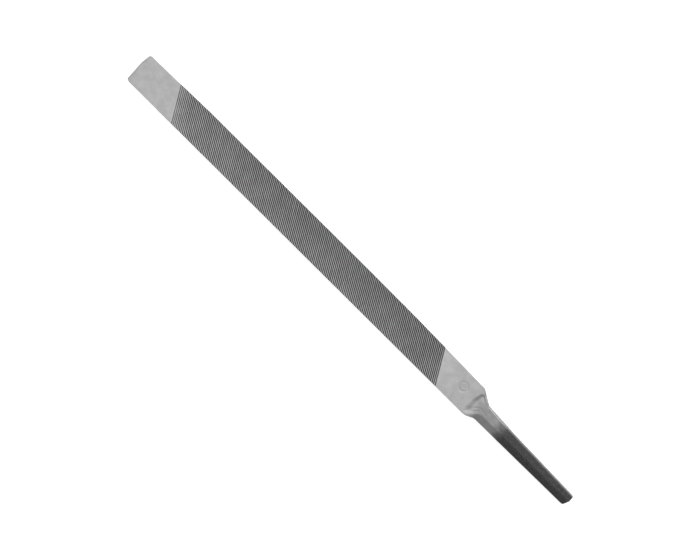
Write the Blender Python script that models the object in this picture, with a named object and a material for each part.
"""Flat hand file: one bar of tool steel, forged, ground, single cut on both faces and hardened.

Units are metres and +Z is up. The file lies on its lower face with its tip towards +X, and the
origin is the middle of its footprint. The tang is bare, ready for a handle.
"""

from math import ceil, cos, pi, radians, sin, tan

import bmesh
import bpy
from mathutils import Matrix, Vector

# Driving dimensions of the bar
BLADE_LENGTH = 0.2000  # tip to the start of the tang
TANG_LENGTH = 0.0556
BLADE_WIDTH = 0.0150  # across the cut teeth
BLADE_THICKNESS = 0.0040
TIP_UPSET = 0.00057  # cutting has bulged the -Y edge beside the teeth by this over the bare tip
HEEL_UPSET = 0.00098  # and by this over the end of the heel

# The blade's tip, whose end is slightly peaked
TIP_PEAK_RISE = 0.0005
TIP_PEAK_Y = -0.0020
TIP_CORNER_RADIUS = 0.0012

# The teeth: one row of parallel cuts on each face
BARE_TIP = 0.0217  # tip to the first tooth, along the middle of the blade
CUT_LENGTH = 0.1559  # along the middle of the blade
TOOTH_ANGLE = radians(60)  # between a tooth's edge and the blade's axis
TOOTH_PITCH = 0.000775  # square to the tooth's edge
TOOTH_DEPTH = 0.00033
TOOTH_SET_BACK = 0.00002  # the tooth points lie this far under the ground faces
CUTTING_FACE_SHARE = 0.22  # the steep front's share of the pitch

# The tang: a flat top, a wide slope on its +Y side and a narrow one on its -Y side
TANG_ROOT_THICKNESS = 0.0032
TANG_END_THICKNESS = 0.0026
WIDE_SLOPE = 0.22  # fall for each unit of width
NARROW_SLOPE = 0.55
NECK_WALL_RUN = 0.0015  # length of the sloping step from the heel down to the tang
NECK_SLANT = 0.170  # the step's lean along X for each unit of Y
NECK_LEAD = 0.0026  # the step starts this far ahead of the tang, on the blade's axis

# Worked out from the sizes above
LENGTH = BLADE_LENGTH + TANG_LENGTH
TIP_X = LENGTH / 2
TANG_END_X = -LENGTH / 2
SHOULDER_X = TIP_X - BLADE_LENGTH
HALF_WIDTH = BLADE_WIDTH / 2
HALF_THICKNESS = BLADE_THICKNESS / 2
FIRST_TOOTH_X = TIP_X - BARE_TIP
LAST_TOOTH_X = FIRST_TOOTH_X - CUT_LENGTH
NECK_FRONT = SHOULDER_X + NECK_LEAD
CLEARANCE = 0.001  # how far a cutter runs past the steel


def rounded_outline(corners):
    """The closed outline through corners (x, y, radius), turned at each corner with its radius."""
    largest_step = radians(18)
    points = []
    for i, (x, y, radius) in enumerate(corners):
        corner = Vector((x, y))
        back = (Vector(corners[i - 1][:2]) - corner).normalized()
        ahead = (Vector(corners[(i + 1) % len(corners)][:2]) - corner).normalized()
        half_angle = back.angle(ahead) / 2
        centre = corner + (back + ahead).normalized() * radius / sin(half_angle)
        start = corner + back * radius / tan(half_angle) - centre
        turn = pi - 2 * half_angle
        if back.cross(ahead) > 0:
            turn = -turn
        steps = ceil(abs(turn) / largest_step)
        for step in range(steps + 1):
            spoke = Matrix.Rotation(turn * step / steps, 2) @ start
            points.append(centre + spoke)
    return points


def bar_outline():
    """The file seen from above, anticlockwise from the tang's end.

    The wide radii belong to the gentle bends of the -Y edge, which cutting has bulged.
    """
    tip_edge_y = -HALF_WIDTH + TIP_UPSET
    heel_edge_y = -HALF_WIDTH + HEEL_UPSET
    return rounded_outline(
        [
            # the tang's narrow side, up to the shoulder
            (TANG_END_X + 0.0002, -0.0006, 0.0010),
            (SHOULDER_X - 0.0198, -0.0017, 0.0300),
            (SHOULDER_X - 0.0038, -0.0026, 0.0020),
            # the blade's -Y edge
            (SHOULDER_X + 0.0027, heel_edge_y, 0.0015),
            (SHOULDER_X + 0.0450, -HALF_WIDTH + HEEL_UPSET / 6, 0.5000),
            (SHOULDER_X + 0.0750, -HALF_WIDTH, 0.9000),
            (TIP_X - 0.0330, -HALF_WIDTH, 0.3000),
            (TIP_X - 0.0180, -HALF_WIDTH + TIP_UPSET / 2, 0.3000),
            # the tip
            (TIP_X - TIP_PEAK_RISE, tip_edge_y, TIP_CORNER_RADIUS),
            (TIP_X, TIP_PEAK_Y, 0.0020),
            (TIP_X - TIP_PEAK_RISE, HALF_WIDTH - 0.0001, TIP_CORNER_RADIUS),
            # the blade's +Y edge
            (SHOULDER_X + 0.0120, HALF_WIDTH, 0.9000),
            (SHOULDER_X + 0.0010, HALF_WIDTH, 0.0060),
            # the tang's wide side and its end
            (SHOULDER_X - 0.0028, 0.0057, 0.0030),
            (TANG_END_X + 0.0012, 0.0052, 0.0010),
            (TANG_END_X, 0.0022, 0.0003),
        ]
    )


def finished(name, bm):
    """A linked object that holds the bmesh, with its faces pointing out."""
    bmesh.ops.recalc_face_normals(bm, faces=bm.faces)
    mesh = bpy.data.meshes.new(name)
    bm.to_mesh(mesh)
    bm.free()
    made = bpy.data.objects.new(name, mesh)
    bpy.context.scene.collection.objects.link(made)
    return made


def prism(name, outline, low, high):
    """The solid over a flat outline, from height low to height high."""
    bm = bmesh.new()
    floor = bm.faces.new([bm.verts.new((x, y, low)) for x, y in outline])
    grown = bmesh.ops.extrude_face_region(bm, geom=[floor])["geom"]
    lid = [item for item in grown if isinstance(item, bmesh.types.BMVert)]
    bmesh.ops.translate(bm, verts=lid, vec=(0, 0, high - low))
    return finished(name, bm)


def loft(name, sections):
    """The solid through rings of points, closed by its first and last ring."""
    bm = bmesh.new()
    rings = [[bm.verts.new(point) for point in section] for section in sections]
    for near, far in zip(rings, rings[1:]):
        for i in range(len(near)):
            bm.faces.new((near[i - 1], near[i], far[i], far[i - 1]))
    bm.faces.new(rings[0])
    bm.faces.new(rings[-1])
    return finished(name, bm)


def tang_half_thickness(x):
    """Half the tang's thickness, which tapers evenly towards its end."""
    share = (SHOULDER_X - x) / TANG_LENGTH
    return (TANG_ROOT_THICKNESS + share * (TANG_END_THICKNESS - TANG_ROOT_THICKNESS)) / 2


def neck_front(y):
    """The x of the neck's slanted front line at y."""
    return NECK_FRONT + NECK_SLANT * y


def thinning_section(places, heights, side):
    """One ring of a thinning cutter. Its lower points follow places (x, y), and it closes above."""
    above = HALF_THICKNESS + CLEARANCE
    low = [(x, y, side * z) for (x, y), z in zip(places, heights)]
    (first_x, first_y), (last_x, last_y) = places[0], places[-1]
    return low + [(last_x, last_y, side * above), (first_x, first_y, side * above)]


def tang_section(x, narrow_y, flat_low_y, flat_high_y, wide_y, side, slant=0.0):
    """A ring over the tang: from narrow_y up to its flat, along it, and down to wide_y."""
    places = [(x + slant * y, y) for y in (narrow_y, flat_low_y, flat_high_y, wide_y)]
    falls = (NARROW_SLOPE * (flat_low_y - narrow_y), 0, 0, WIDE_SLOPE * (wide_y - flat_high_y))
    heights = [tang_half_thickness(px) - fall for (px, _), fall in zip(places, falls)]
    return thinning_section(places, heights, side)


def tang_thinning(name, side):
    """Cutter that thins the tang on one side of the middle plane, and leaves two ears at the shoulder.

    Each section is placed along the tang, with the Y of its narrow edge, of its flat's two edges
    and of its wide edge.
    """
    start = [(neck_front(y), y) for y in (-0.0041, -0.0030, 0.0033, 0.0047)]
    over_face = [HALF_THICKNESS + CLEARANCE / 4] * len(start)
    past_end = TANG_END_X - CLEARANCE
    return loft(
        name,
        [
            thinning_section(start, over_face, side),
            tang_section(NECK_FRONT - NECK_WALL_RUN, -0.0036, -0.0030, 0.0032, 0.0042, side, NECK_SLANT),
            tang_section(SHOULDER_X - 0.0035, -0.0032, -0.0020, 0.0030, 0.0058, side),
            tang_section(SHOULDER_X - 0.0055, -0.0031, -0.0018, 0.0030, 0.0062, side),
            tang_section(past_end, -0.0011, -0.0002, 0.0026, 0.0056, side),
        ],
    )


def tooth_comb(name, turn):
    """Cutter with one sawtooth groove for each tooth, over the upper face, or turned to the lower one."""
    along = Vector((-cos(TOOTH_ANGLE), sin(TOOTH_ANGLE), 0))
    reach = along * (HALF_WIDTH / sin(TOOTH_ANGLE) + CLEARANCE)
    axial_pitch = TOOTH_PITCH / sin(TOOTH_ANGLE)
    rows = round(CUT_LENGTH / axial_pitch)
    point_height = HALF_THICKNESS - TOOTH_SET_BACK
    groove_height = HALF_THICKNESS - TOOTH_DEPTH
    lid_height = HALF_THICKNESS + CLEARANCE
    profile = []
    for row in range(rows):
        tooth_x = LAST_TOOTH_X + row * axial_pitch
        profile.append((tooth_x, point_height))
        profile.append((tooth_x + CUTTING_FACE_SHARE * axial_pitch, groove_height))
    profile.append((FIRST_TOOTH_X, point_height))
    profile.append((FIRST_TOOTH_X, lid_height))
    profile.append((LAST_TOOTH_X, lid_height))
    ring = [Vector((x, 0, z)) for x, z in profile]
    comb = loft(name, [[point - reach for point in ring], [point + reach for point in ring]])
    comb.rotation_euler.x = turn
    return comb


def cut(body, cutter):
    """Takes the cutter's shape out of the body, and keeps the cutter as a hidden guide."""
    cutter.location.z = HALF_THICKNESS
    cutter.hide_render = True
    cutter.display_type = "WIRE"
    groove = body.modifiers.new(cutter.name, "BOOLEAN")
    groove.operation = "DIFFERENCE"
    groove.solver = "EXACT"
    groove.object = cutter


def steel():
    """Bare ground tool steel."""
    material = bpy.data.materials.new("bare_tool_steel")
    material.use_nodes = True
    shader = material.node_tree.nodes["Principled BSDF"]
    shader.inputs["Base Color"].default_value = (0.46, 0.46, 0.46, 1)
    shader.inputs["Metallic"].default_value = 1.0
    shader.inputs["Roughness"].default_value = 0.38
    return material


def main():
    for old in list(bpy.data.objects):
        bpy.data.objects.remove(old)
    file_bar = prism("flat_file", bar_outline(), 0, BLADE_THICKNESS)
    file_bar.data.materials.append(steel())
    cut(file_bar, tang_thinning("upper_tang_cutter", 1))
    cut(file_bar, tang_thinning("lower_tang_cutter", -1))
    cut(file_bar, tooth_comb("upper_tooth_cutter", 0))
    cut(file_bar, tooth_comb("lower_tooth_cutter", pi))


main()
